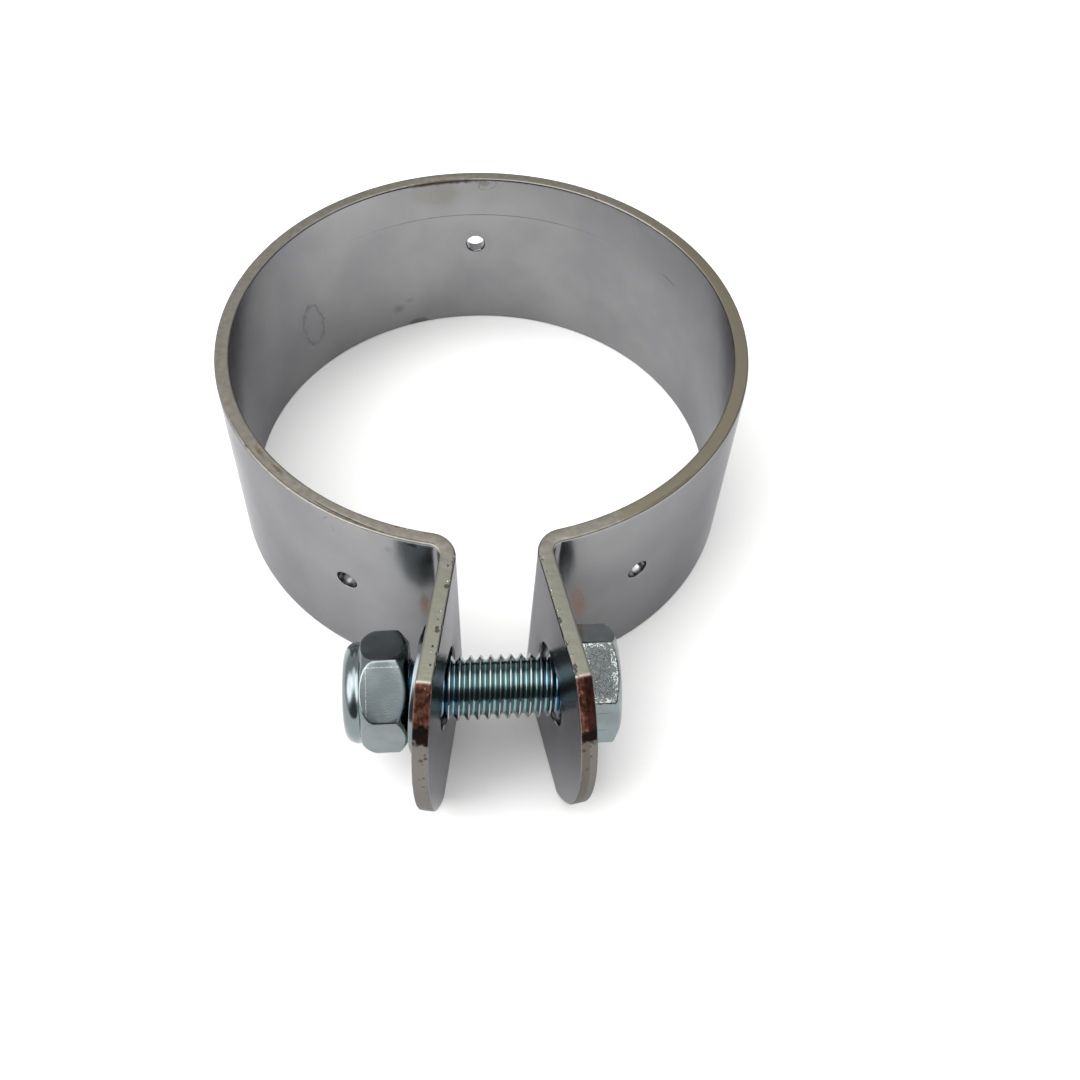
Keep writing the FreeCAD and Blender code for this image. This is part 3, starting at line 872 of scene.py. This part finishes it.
    # ear ends: a painted highlight line on the corner, red-brown under thin zinc, a black crackled
    # band, and clean metal with a trail of specks, rougher on the gap side
    finish = earEndFinish
    pastCorner = addNode(tree, "MapRange", None, [
        distance, finish["corner"][0] + 0.35, finish["corner"][1],
    ]).outputs[0]
    jitter = addNode(tree, "Math", {"operation": "MULTIPLY_ADD"}, [
        blotch, 3.2,
        addNode(tree, "Math", {"operation": "SUBTRACT"}, [height, 1.6]).outputs[0],
    ]).outputs[0]
    levels = {}
    for name in ("brownDown", "blackDown"):
        level = addNode(tree, "Mix", None, {0: onRight, 2: finish[name][0], 3: finish[name][1]})
        above = addNode(tree, "Math", {"operation": "SUBTRACT"}, [
            jitter, level.outputs[0],
        ]).outputs[0]
        levels[name] = addNode(tree, "MapRange", None, [above, 0.0, 0.5]).outputs[0]
    endSide = addNode(tree, "MapRange", None, [
        addNode(tree, "Math", {"operation": "MULTIPLY_ADD"}, [blotch, 0.3, outside]).outputs[0],
        0.6, 0.7,
    ]).outputs[0]
    endColour = addNode(tree, "Mix", {"data_type": "RGBA"}, {
        0: onRight, 6: finish["cleanLeft"],
        7: addNode(tree, "Mix", {"data_type": "RGBA"}, {
            0: endSide, 6: finish["clean"][0], 7: finish["clean"][1],
        }).outputs[2],
    }).outputs[2]
    trail = addNode(tree, "Math", {"operation": "MULTIPLY"}, [
        pit,
        addNode(tree, "MapRange", None, [height, finish["trailDown"], 24.0, 0.0, 0.95]).outputs[0],
    ]).outputs[0]
    trail = addNode(tree, "Math", {"operation": "MULTIPLY"}, [
        trail,
        addNode(tree, "MapRange", None, [outside, 0.8, 0.55]).outputs[0],
    ]).outputs[0]
    endColour = addNode(tree, "Mix", {"data_type": "RGBA"}, {
        0: trail, 6: endColour, 7: finish["trailColour"],
    }).outputs[2]
    endColour = addNode(tree, "Mix", {"data_type": "RGBA"}, {
        0: levels["blackDown"], 6: endColour, 7: finish["black"],
    }).outputs[2]
    streaks = addNode(tree, "TexNoise", None, {
        "Vector": addNode(tree, "Mapping", None, {
            "Vector": solid, "Scale": (2.2, 2.2, 0.5),
        }).outputs[0],
        "Scale": 1.0, "Detail": 4.0,
    }).outputs[0]
    brown = addNode(tree, "Mix", {"data_type": "RGBA"}, {
        0: addNode(tree, "MapRange", None, [streaks, 0.38, 0.6]).outputs[0],
        6: finish["brown"][0], 7: finish["brown"][1],
    }).outputs[2]
    darker = addNode(tree, "Math", {"operation": "MULTIPLY"}, [
        onRight,
        addNode(tree, "MapRange", None, [outside, 0.42, 0.5, 0.0, 0.75]).outputs[0],
    ]).outputs[0]
    brown = addNode(tree, "Mix", {"data_type": "RGBA"}, {
        0: darker, 6: brown, 7: finish["outerBrown"],
    }).outputs[2]
    crackle = addNode(tree, "Math", {"operation": "ABSOLUTE"}, [
        addNode(tree, "Math", {"operation": "SUBTRACT"}, [grain, 0.5]).outputs[0],
    ]).outputs[0]
    crackle = addNode(tree, "Math", {"operation": "MULTIPLY"}, [
        addNode(tree, "MapRange", None, [crackle, 0.05, 0.0]).outputs[0],
        addNode(tree, "MapRange", None, [height, 27.5, 25.0, 0.0, 0.8]).outputs[0],
    ]).outputs[0]
    brown = addNode(tree, "Mix", {"data_type": "RGBA"}, {
        0: crackle, 6: brown, 7: finish["black"],
    }).outputs[2]
    endColour = addNode(tree, "Mix", {"data_type": "RGBA"}, {
        0: levels["brownDown"], 6: endColour, 7: brown,
    }).outputs[2]
    edgeColour = addNode(tree, "Mix", {"data_type": "RGBA"}, {
        0: pastCorner, 6: edgeColour, 7: endColour,
    }).outputs[2]
    # painted highlight: a narrow bright band across the corner
    corner = addNode(tree, "Math", {"operation": "MULTIPLY"}, [
        addNode(tree, "MapRange", None, [
            distance, finish["corner"][0], finish["corner"][0] + 0.2,
        ]).outputs[0],
        addNode(tree, "MapRange", None, [
            distance, finish["corner"][1], finish["corner"][1] - 0.2, 0.0, 0.9,
        ]).outputs[0],
    ]).outputs[0]
    edgeColour = addNode(tree, "Mix", {"data_type": "RGBA"}, {
        0: corner, 6: edgeColour, 7: finish["cornerHighlightColour"],
    }).outputs[2]
    onEdge = addNode(tree, "MapRange", None, [cutEdge, 0.2, 0.6]).outputs[0]
    colour = addNode(tree, "Mix", {"data_type": "RGBA"}, {
        0: onEdge, 6: colour, 7: edgeColour,
    }).outputs[2]

    # roughness and relief
    roughness = addNode(tree, "MapRange", None, {
        "Value": cloud, "From Min": 0.3, "From Max": 0.7,
        "To Min": look["roughness"] + look["cloudRoughness"],
        "To Max": look["roughness"] - look["cloudRoughness"],
    }).outputs[0]
    roughness = addNode(tree, "Math", {"operation": "MULTIPLY_ADD"}, [
        marked, look["markRoughness"], roughness,
    ]).outputs[0]
    roughness = addNode(tree, "Math", {"operation": "MULTIPLY_ADD"}, [
        onEdge, look["edgeRoughness"], roughness,
    ]).outputs[0]
    depth = look["relief"]
    relief = grain
    for share, name in ((rollLines, "rollLines"), (cloud, "clouds"), (marked, "marks")):
        relief = addNode(tree, "Math", {"operation": "MULTIPLY_ADD"}, [
            share, depth[name], relief,
        ]).outputs[0]
    edgeRelief = addNode(tree, "Math", {"operation": "MULTIPLY"}, [
        blotch, depth["blotches"],
    ]).outputs[0]
    for share, name in ((tornPit, "pits"), (burrAndGlint, "burrs"), (edgeMarked, "rimMarks")):
        edgeRelief = addNode(tree, "Math", {"operation": "MULTIPLY_ADD"}, [
            share, depth[name], edgeRelief,
        ]).outputs[0]
    relief = addNode(tree, "Math", {"operation": "MULTIPLY_ADD"}, [
        addNode(tree, "Math", {"operation": "MULTIPLY"}, [edgeRelief, onEdge]).outputs[0],
        depth["cutEdge"], relief,
    ]).outputs[0]
    bump = addNode(tree, "Bump", None, {
        "Height": relief, "Distance": look["bumpDepth"], "Strength": 1.0,
    }).outputs[0]
    shader = addNode(tree, "BsdfPrincipled", None, {
        "Base Color": colour, "Metallic": 1.0, "Roughness": roughness, "Normal": bump,
        "Specular Tint": look["grazing"],
    })
    addNode(tree, "OutputMaterial", None, {"Surface": shader.outputs[0]})
    return material


fastenerFinish = {
    "zinc": ("#6a7274", "#767e7f"),  # bluish passivated zinc, its two shades
    "blueFilm": "#5c7880",  # thicker passivation in patches
    "crest": "#8f8f8e",  # painted highlight along the thread crests
    "flank": ("#6d8485", "#5c7f93"),  # teal in the middle of the gap, bluer beside the ears
    "blueBeyond": (4.5, 7.5),  # mm from the gap's middle
    "frosted": ("#484c4c", "#868a89"),  # painted shade in the hollows and painted highlights on the ridges of the crinkled flat
    "frostedBorder": (2.7, 3.5),  # mm from the flat's middle, where ridges crowd
    "line": "#2b3031",
    "millLines": (18.1, 15.0),  # heights of two faint lines on the flat that faces forward
    "imprint": "#b3b9b9",  # faint inner outline that the forming die left on one flat of the nut
    "imprintAt": (2.9, -16.1),  # mm across the flat, and along the bolt
    "cloud": 3.2,
    "cloudRange": (0.38, 0.62),  # noise that gives the two shades
    "filmRange": (0.56, 0.72, 0.0, 0.6),  # noise that gives the blue film, and its strength
    "grain": 0.16,
    "crinkle": 0.5,
    "lineReach": (0.09, 0.03),  # mm from a faint line where it ends and is full
    "imprintReach": (0.1, 0.03),
    "roughness": 0.13,
    "frostRoughness": 0.1,
    "frostRelief": 5.0,
    "bumpDepth": 0.000006,  # metres of relief for each unit
}


def zincFastener():
    # Blue passivated zinc on formed steel: glossy with a teal cast, with a painted highlight along
    # the thread crests, and crinkled like frost on one flat of the head, with painted shade and
    # highlights there.
    material, tree = emptyMaterial("bluePassivatedZincOnSteel")
    look = fastenerFinish
    metres = addNode(tree, "TexCoord").outputs["Object"]
    solid = addNode(tree, "VectorMath", {"operation": "SCALE"}, {
        0: metres, "Scale": 1 / millimetre,
    }).outputs[0]
    apart = addNode(tree, "SeparateXYZ", None, {0: solid})
    alongBolt, forward, height = apart.outputs[0], apart.outputs[1], apart.outputs[2]
    thread, crest, frosted, pressed, acrossFlat = (
        addNode(tree, "Attribute", {"attribute_name": name}).outputs["Fac"]
        for name in ("thread", "crest", "frosted", "pressed", "acrossFlat")
    )
    cloud = addNode(tree, "TexNoise", None, {
        "Vector": solid, "Scale": 1 / look["cloud"], "Detail": 4.0,
    }).outputs[0]
    grain = addNode(tree, "TexNoise", None, {
        "Vector": solid, "Scale": 1 / look["grain"], "Detail": 3.0,
    }).outputs[0]
    crinkle = addNode(tree, "TexNoise", None, {
        "Vector": solid, "Scale": 1 / look["crinkle"], "Detail": 3.0, "Distortion": 0.6,
    }).outputs[0]
    colour = addNode(tree, "Mix", {"data_type": "RGBA"}, {
        0: addNode(tree, "MapRange", None, [cloud, *look["cloudRange"]]).outputs[0],
        6: look["zinc"][0], 7: look["zinc"][1],
    }).outputs[2]
    colour = addNode(tree, "Mix", {"data_type": "RGBA"}, {
        0: addNode(tree, "MapRange", None, [cloud, *look["filmRange"]]).outputs[0],
        6: colour, 7: look["blueFilm"],
    }).outputs[2]
    beside = addNode(tree, "MapRange", None, [
        addNode(tree, "Math", {"operation": "ABSOLUTE"}, [alongBolt]).outputs[0],
        *look["blueBeyond"],
    ]).outputs[0]
    colour = addNode(tree, "Mix", {"data_type": "RGBA"}, {
        0: thread, 6: colour,
        7: addNode(tree, "Mix", {"data_type": "RGBA"}, {
            0: beside, 6: look["flank"][0], 7: look["flank"][1],
        }).outputs[2],
    }).outputs[2]
    # painted highlight along the thread crests
    colour = addNode(tree, "Mix", {"data_type": "RGBA"}, {
        0: addNode(tree, "Math", {"operation": "MULTIPLY"}, [
            crest,
            addNode(tree, "MapRange", None, [grain, 0.25, 0.5]).outputs[0],
        ]).outputs[0],
        6: colour, 7: look["crest"],
    }).outputs[2]

    # faint lines left by the dies: two on the head's forward flat, an inner outline on the nut's
    for level in look["millLines"]:
        off = addNode(tree, "Math", {"operation": "ABSOLUTE"}, [
            addNode(tree, "Math", {"operation": "SUBTRACT"}, [height, level]).outputs[0],
        ]).outputs[0]
        line = addNode(tree, "Math", {"operation": "MULTIPLY"}, [
            addNode(tree, "MapRange", None, [off, *look["lineReach"]]).outputs[0],
            addNode(tree, "MapRange", None, [forward, -53.5, -53.7]).outputs[0],
        ]).outputs[0]
        line = addNode(tree, "Math", {"operation": "MULTIPLY"}, [
            line,
            addNode(tree, "MapRange", None, [alongBolt, 9.5, 10.2]).outputs[0],
        ]).outputs[0]
        line = addNode(tree, "Math", {"operation": "MULTIPLY"}, [
            line,
            addNode(tree, "MapRange", None, [alongBolt, 13.2, 12.6, 0.0, 0.55]).outputs[0],
        ]).outputs[0]
        colour = addNode(tree, "Mix", {"data_type": "RGBA"}, {
            0: line, 6: colour, 7: look["line"],
        }).outputs[2]
    past = addNode(tree, "Math", {"operation": "MAXIMUM"}, [
        addNode(tree, "Math", {"operation": "SUBTRACT"}, [
            acrossFlat, look["imprintAt"][0],
        ]).outputs[0],
        addNode(tree, "Math", {"operation": "SUBTRACT"}, [
            look["imprintAt"][1], alongBolt,
        ]).outputs[0],
    ]).outputs[0]
    imprint = addNode(tree, "MapRange", None, [
        addNode(tree, "Math", {"operation": "ABSOLUTE"}, [past]).outputs[0],
        *look["imprintReach"],
    ]).outputs[0]
    imprint = addNode(tree, "Math", {"operation": "MULTIPLY"}, [imprint, pressed]).outputs[0]
    colour = addNode(tree, "Mix", {"data_type": "RGBA"}, {
        0: addNode(tree, "Math", {"operation": "MULTIPLY"}, [
            imprint,
            addNode(tree, "MapRange", None, [grain, 0.35, 0.6, 0.0, 0.6]).outputs[0],
        ]).outputs[0],
        6: colour, 7: look["imprint"],
    }).outputs[2]

    # the crinkled flat: real relief from the ridges, and in its colour painted highlights on thin
    # ridges where the noise crosses its middle, crowded at the rim, with painted shade between them
    ridge = addNode(tree, "Math", {"operation": "ABSOLUTE"}, [
        addNode(tree, "Math", {"operation": "SUBTRACT"}, [crinkle, 0.5]).outputs[0],
    ]).outputs[0]
    border = addNode(tree, "MapRange", None, [
        addNode(tree, "Math", {"operation": "MULTIPLY_ADD"}, [
            crinkle, 1.0,
            addNode(tree, "Math", {"operation": "SUBTRACT"}, [
                addNode(tree, "Math", {"operation": "ABSOLUTE"}, [acrossFlat]).outputs[0],
                0.5,
            ]).outputs[0],
        ]).outputs[0],
        *look["frostedBorder"],
    ]).outputs[0]
    ends = addNode(tree, "Math", {"operation": "MAXIMUM"}, [
        addNode(tree, "MapRange", None, [alongBolt, 13.3, 13.9]).outputs[0],
        addNode(tree, "MapRange", None, [alongBolt, 11.0, 10.3]).outputs[0],
    ]).outputs[0]
    border = addNode(tree, "Math", {"operation": "MAXIMUM"}, [border, ends]).outputs[0]
    reach = addNode(tree, "Math", {"operation": "MULTIPLY_ADD"}, [border, 0.045, 0.025]).outputs[0]
    ridge = addNode(tree, "MapRange", None, [
        addNode(tree, "Math", {"operation": "SUBTRACT"}, [ridge, reach]).outputs[0],
        0.02, -0.02,
    ]).outputs[0]
    # painted highlights on the ridges, painted shade between them
    crinkleShadeAndHighlight = addNode(tree, "Mix", {"data_type": "RGBA"}, {
        0: ridge, 6: look["frosted"][0], 7: look["frosted"][1],
    }).outputs[2]
    colour = addNode(tree, "Mix", {"data_type": "RGBA"}, {
        0: frosted, 6: colour, 7: crinkleShadeAndHighlight,
    }).outputs[2]
    roughness = addNode(tree, "MapRange", None, {
        "Value": cloud, "From Min": 0.3, "From Max": 0.7,
        "To Min": look["roughness"] - 0.03, "To Max": look["roughness"] + 0.05,
    }).outputs[0]
    roughness = addNode(tree, "Math", {"operation": "MULTIPLY_ADD"}, [
        frosted, look["frostRoughness"], roughness,
    ]).outputs[0]
    frost = addNode(tree, "Math", {"operation": "MULTIPLY"}, [ridge, frosted]).outputs[0]
    relief = addNode(tree, "Math", {"operation": "MULTIPLY_ADD"}, [
        frost, look["frostRelief"], grain,
    ]).outputs[0]
    bump = addNode(tree, "Bump", None, {
        "Height": relief, "Distance": look["bumpDepth"], "Strength": 1.0,
    }).outputs[0]
    shader = addNode(tree, "BsdfPrincipled", None, {
        "Base Color": colour, "Metallic": 1.0, "Roughness": roughness, "Normal": bump,
    })
    addNode(tree, "OutputMaterial", None, {"Surface": shader.outputs[0]})
    return material


nylonFinish = {
    "colour": ("#d8d6c8", "#e6e5dc"),
    "mottle": 900.0,  # to the metre
    "roughness": 0.42,
    "ior": 1.53,
    "glow": 0.2,  # share of the light that goes in and comes out beside
    "glowReach": (0.0008, 0.0007, 0.0005),  # metres, for red, green and blue
    "bumpDepth": 0.00003,  # metres
}


def naturalNylon():
    # natural nylon: milky, faintly yellow, satin from the mould
    material, tree = emptyMaterial("mouldedNaturalNylon")
    look = nylonFinish
    metres = addNode(tree, "TexCoord").outputs["Object"]
    mottle = addNode(tree, "TexNoise", None, {
        "Vector": metres, "Scale": look["mottle"], "Detail": 3.0,
    }).outputs[0]
    colour = addNode(tree, "Mix", {"data_type": "RGBA"}, {
        0: mottle, 6: look["colour"][0], 7: look["colour"][1],
    }).outputs[2]
    bump = addNode(tree, "Bump", None, {
        "Height": mottle, "Distance": look["bumpDepth"], "Strength": 0.6,
    }).outputs[0]
    shader = addNode(tree, "BsdfPrincipled", None, {
        "Base Color": colour, "Roughness": look["roughness"], "IOR": look["ior"],
        "Subsurface Weight": look["glow"], "Subsurface Radius": look["glowReach"], "Normal": bump,
    })
    addNode(tree, "OutputMaterial", None, {"Surface": shader.outputs[0]})
    return material


strip = platedStrip()
zinc = zincFastener()
nylon = naturalNylon()
print("materials made")


def keepValues(piece, **values):
    # one number for each point, which the piece's material reads by name
    for name, numbers in values.items():
        attribute = piece.data.attributes.new(name, "FLOAT", "POINT")
        attribute.data.foreach_set("value", np.asarray(numbers, np.float32))


points, faces, places, outside, rims = bandSurface()
bandPiece = makePiece("band_strip", points, faces.tolist(), "clamp_band", "band", strip)
corner = np.zeros(len(bandPiece.data.loops), int)
bandPiece.data.loops.foreach_get("vertex_index", corner)
flatStrip = bandPiece.data.uv_layers.new(name="flatStrip")
flatStrip.data.foreach_set("uv", (places[corner] / stripSpan + [0.5, 0]).ravel())
keepValues(bandPiece, outside=outside, cutEdge=rims)
print("band made:", len(bandPiece.data.polygons), "faces")

headPoints, headFaces = headSurface()
threadPoints, threadFaces, onCrest = threadSurface()
shifted = [[number + len(headPoints) for number in face] for face in threadFaces]
boltPoints = np.concatenate([headPoints, threadPoints])
bolt = makePiece("bolt_m8", boltPoints, headFaces + shifted, "hex_bolt", "bolt", zinc)
onFrosted, acrossFrosted = flatPlaces(boltPoints, head["frostedFlat"])
inThread = np.arange(len(boltPoints)) >= len(headPoints)
keepValues(
    bolt,
    thread=inThread,
    crest=np.concatenate([np.zeros(len(headPoints)), onCrest]),
    frosted=np.where(inThread, 0, onFrosted),
    acrossFlat=acrossFrosted,
)
makePiece("washer_m8", *washerSurface(), "flat_washer", "washer", zinc)
nutPoints, nutFaces = nutSurface()
nutPiece = makePiece("nut_m8", nutPoints, nutFaces, "lock_nut", "nut", zinc)
pressed, acrossPressed = flatPlaces(nutPoints, nut["pressedFlat"])
keepValues(nutPiece, pressed=pressed, acrossFlat=acrossPressed)
makePiece("nut_nylon_ring", *nylonSurface(), "nylon_ring", "nut", nylon)
print("fasteners made")

# Floor, light and camera
studio = {
    "floorColour": "#f6f6f5",
    "floorSize": 4.0,  # metres
    "room": 0.80,
    "overhead": 3.75,
    "overheadRise": (0.80, 0.97),  # sine of the height where the soft light begins and is full
    "front": 0.13,
    "frontReach": (0.40, 0.82),  # how directly in front the room turns dark
    "leftGain": -0.22,  # the window's side, on the left, is brighter
    "windowAt": (-0.72, -0.16, 0.68),
    "windowReach": (0.86, 0.95),  # cosines of the angles from its middle where it ends and is full
    "window": 3.9,
}

floorMesh = bpy.data.meshes.new("floor")
reach = studio["floorSize"] / 2
corners = [(-reach, -reach, 0), (reach, -reach, 0), (reach, reach, 0), (-reach, reach, 0)]
floorMesh.from_pydata(corners, [], [(0, 1, 2, 3)])
floor = bpy.data.objects.new("floor", floorMesh)
bpy.context.collection.objects.link(floor)
paper, paperTree = emptyMaterial("paleBackdropPaper")
paperShader = addNode(paperTree, "BsdfPrincipled", None, {
    "Base Color": linearColour(studio["floorColour"]), "Roughness": 0.9,
})
addNode(paperTree, "OutputMaterial", None, {"Surface": paperShader.outputs[0]})
floorMesh.materials.append(paper)


def softStudio():
    # a soft light straight overhead, a pale room round it, and a darker place in front, where
    # whoever takes the picture stands
    world = bpy.data.worlds.new("softStudio")
    bpy.context.scene.world = world
    world.use_nodes = True
    tree = world.node_tree
    tree.nodes.clear()
    direction = addNode(tree, "TexCoord").outputs["Generated"]
    apart = addNode(tree, "SeparateXYZ", None, {0: direction})
    toFront = addNode(tree, "Math", {"operation": "MULTIPLY"}, [
        apart.outputs[1], -1.0,
    ]).outputs[0]
    room = addNode(tree, "MapRange", {"interpolation_type": "SMOOTHSTEP"}, {
        "Value": toFront, "From Min": studio["frontReach"][0], "From Max": studio["frontReach"][1],
        "To Min": studio["room"], "To Max": studio["front"],
    }).outputs[0]
    overhead = addNode(tree, "MapRange", {"interpolation_type": "SMOOTHSTEP"}, {
        "Value": apart.outputs[2], "From Min": studio["overheadRise"][0],
        "From Max": studio["overheadRise"][1], "To Max": studio["overhead"] - studio["room"],
    }).outputs[0]
    strength = addNode(tree, "Math", {"operation": "ADD"}, [room, overhead]).outputs[0]
    side = addNode(tree, "Math", {"operation": "MULTIPLY_ADD"}, [
        apart.outputs[0], studio["leftGain"], 1.0,
    ]).outputs[0]
    strength = addNode(tree, "Math", {"operation": "MULTIPLY"}, [strength, side]).outputs[0]
    toWindow = addNode(tree, "VectorMath", {"operation": "DOT_PRODUCT"}, {
        0: direction, 1: studio["windowAt"],
    }).outputs["Value"]
    strength = addNode(tree, "Math", {"operation": "ADD"}, [
        strength,
        addNode(tree, "MapRange", None, [
            toWindow, *studio["windowReach"], 0.0, studio["window"],
        ]).outputs[0],
    ]).outputs[0]
    sky = addNode(tree, "Background", None, {"Color": (1, 1, 1, 1), "Strength": strength})
    addNode(tree, "OutputWorld", None, {"Surface": sky.outputs[0]})


softStudio()

# angles in radians, lengths in mm, and the lens in pixels of the photograph's frame
camera = {
    "elevation": 0.866896, "azimuth": -0.044409, "pan": -0.048128, "roll": 0.006239,
    "distance": 185.645, "aimHeight": 4.437,
    "focalPixels": 1170.69, "centreY": 450.0, "frame": 1080.0,
    "sensor": 36.0,
    "clip": (0.005, 20.0),  # metres
}


def cameraPlace():
    # A camera that looks at a point on the ring's axis from its elevation and azimuth, then is
    # panned about its own upright and rolled about its own line of sight.
    e, a, p, r = (camera[key] for key in ("elevation", "azimuth", "pan", "roll"))
    back = np.array([math.sin(a) * math.cos(e), -math.cos(a) * math.cos(e), math.sin(e)])
    place = back * camera["distance"] + [0, 0, camera["aimHeight"]]
    right = np.array([math.cos(a), math.sin(a), 0])
    up = np.cross(right, -back)
    pannedRight = right * math.cos(p) - back * math.sin(p)
    pannedBack = back * math.cos(p) + right * math.sin(p)
    rolledRight = pannedRight * math.cos(r) + up * math.sin(r)
    rolledUp = up * math.cos(r) - pannedRight * math.sin(r)
    matrix = Matrix.Identity(4)
    for column, axis in enumerate((rolledRight, rolledUp, pannedBack, place * millimetre)):
        for row in range(3):
            matrix[row][column] = axis[row]
    return matrix


lens = bpy.data.cameras.new("camera")
lens.sensor_width = camera["sensor"]
lens.lens = camera["focalPixels"] / camera["frame"] * lens.sensor_width
lens.shift_y = camera["centreY"] / camera["frame"] - 0.5
lens.clip_start, lens.clip_end = camera["clip"]
view = bpy.data.objects.new("camera", lens)
view.matrix_world = cameraPlace()
bpy.context.collection.objects.link(view)
bpy.context.scene.camera = view
bpy.context.scene.view_settings.view_transform = "Standard"
print("camera and light placed")
